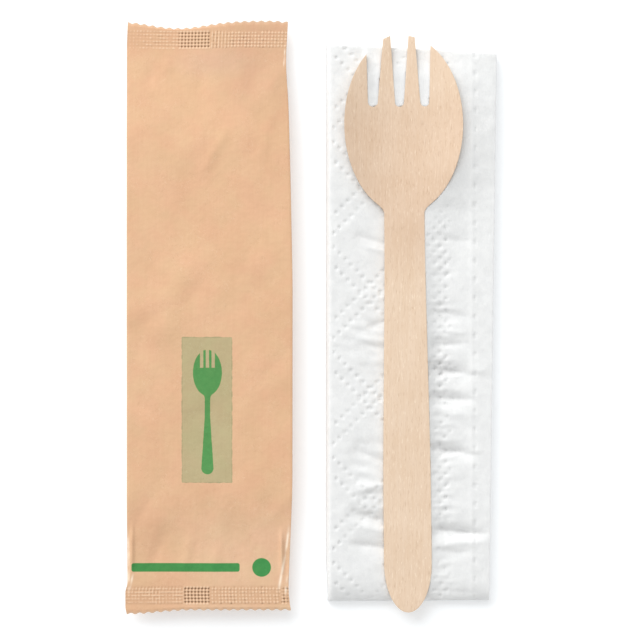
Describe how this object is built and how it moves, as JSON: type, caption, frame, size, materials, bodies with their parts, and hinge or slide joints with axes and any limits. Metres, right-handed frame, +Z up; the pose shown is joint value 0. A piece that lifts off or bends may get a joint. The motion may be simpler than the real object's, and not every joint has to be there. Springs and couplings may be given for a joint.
{
  "type": "wooden cutlery pack",
  "caption": "Disposable cutlery set: a sealed kraft-paper pouch beside a folded white napkin with a pressed wooden spork lying on it.",
  "frame": {"origin": "centre of the set's outline seen from above, at the level of the surface that it lies on", "axes": "+X from the pouch towards the napkin, +Y from the spork's handle towards its tines, +Z up out of the surface"},
  "size_m": [0.1026, 0.165, 0.0085],
  "materials": {
    "kraft_paper": "matte",
    "tissue": "matte",
    "veneer": "matte"
  },
  "bodies": {
    "root": {"kraft_pouch": "kraft_paper", "folded_napkin": "tissue", "wooden_spork": "veneer"}
  },
  "joints": []
}
